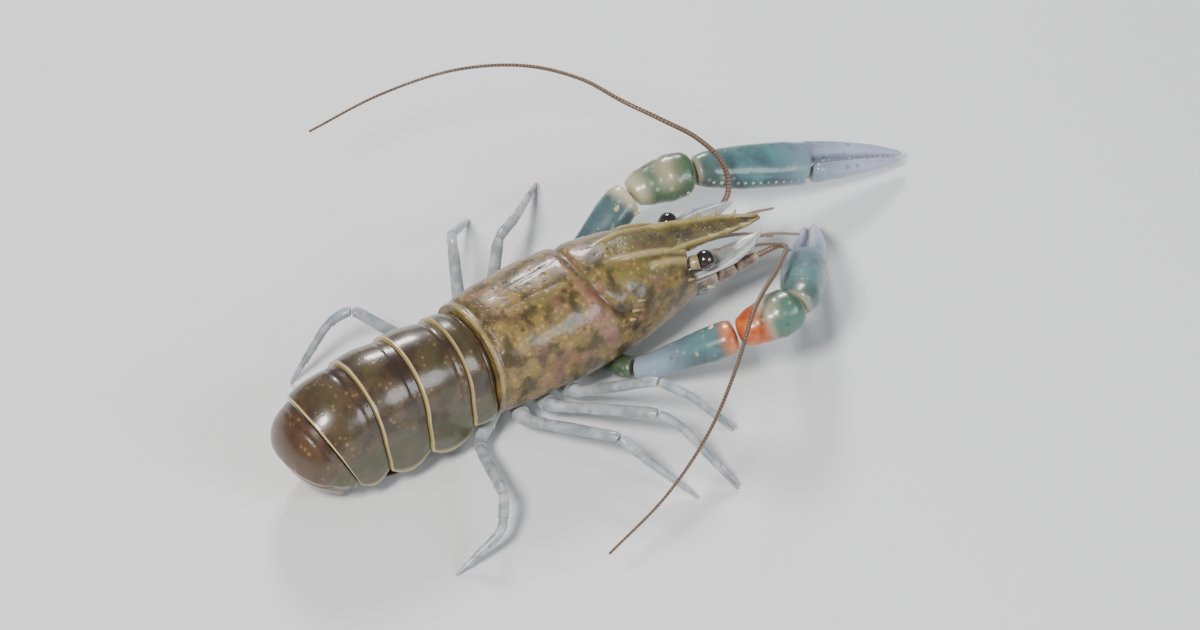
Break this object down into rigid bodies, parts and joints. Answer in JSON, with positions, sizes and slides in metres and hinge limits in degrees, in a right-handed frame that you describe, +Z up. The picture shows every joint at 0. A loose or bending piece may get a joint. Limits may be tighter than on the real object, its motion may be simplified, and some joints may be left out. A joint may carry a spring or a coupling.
{
  "type": "freshwater crayfish",
  "caption": "Life-size freshwater crayfish standing with slender claws held forward, long feelers swept back and its tail tucked under the body",
  "frame": {"origin": "centre of the bounding box at floor level", "axes": "head toward -Y, the animal's left side on +X, +Z up; the box is longest along Y"},
  "size_m": [0.126, 0.1588, 0.0345],
  "materials": {
    "shell": "wet olive-brown shell, finely speckled",
    "abdomen": "wet purple-brown rings with pale rear rims",
    "claw": "wet teal-green, pale towards the tips",
    "joint": "wet orange-red to green",
    "leg": "damp pale grey",
    "eye": "glossy near-black",
    "feeler": "damp ringed brown",
    "belly": "damp pale grey-buff",
    "fan": "wet dark olive with a pale fringe"
  },
  "bodies": {
    "root": {"carapace": "shell", "sternum": "belly", "eye_left": "eye", "antennule_left": "feeler", "antenna_base_left": "claw", "antenna_scale_left": "leg", "antenna_left_a": "feeler", "antenna_left_b": "feeler", "antenna_left_c": "feeler", "antenna_left_d": "feeler", "maxilliped_left": "leg", "claw_hip_left": "claw", "claw_arm_left": "claw", "claw_palm_left": "claw", "claw_finger_left": "claw", "claw_wrist_left": "joint", "leg_2_left_upper": "leg", "leg_2_left_lower": "leg", "leg_3_left_upper": "leg", "leg_3_left_lower": "leg", "leg_4_left_upper": "leg", "leg_4_left_lower": "leg", "leg_5_left_upper": "leg", "leg_5_left_lower": "leg", "uropod_inner_left": "fan", "uropod_outer_left": "fan", "eye_right": "eye", "antennule_right": "feeler", "antenna_base_right": "claw", "antenna_scale_right": "leg", "antenna_right_a": "feeler", "antenna_right_b": "feeler", "antenna_right_c": "feeler", "antenna_right_d": "feeler", "maxilliped_right": "leg", "claw_hip_right": "claw", "claw_arm_right": "claw", "claw_palm_right": "claw", "claw_finger_right": "claw", "claw_wrist_right": "joint", "leg_2_right_upper": "leg", "leg_2_right_lower": "leg", "leg_3_right_upper": "leg", "leg_3_right_lower": "leg", "leg_4_right_upper": "leg", "leg_4_right_lower": "leg", "leg_5_right_upper": "leg", "leg_5_right_lower": "leg", "uropod_inner_right": "fan", "uropod_outer_right": "fan", "somite_1": "abdomen", "somite_2": "abdomen", "somite_3": "abdomen", "somite_4": "abdomen", "somite_5": "abdomen", "somite_6": "abdomen", "telson": "fan"}
  },
  "joints": []
}
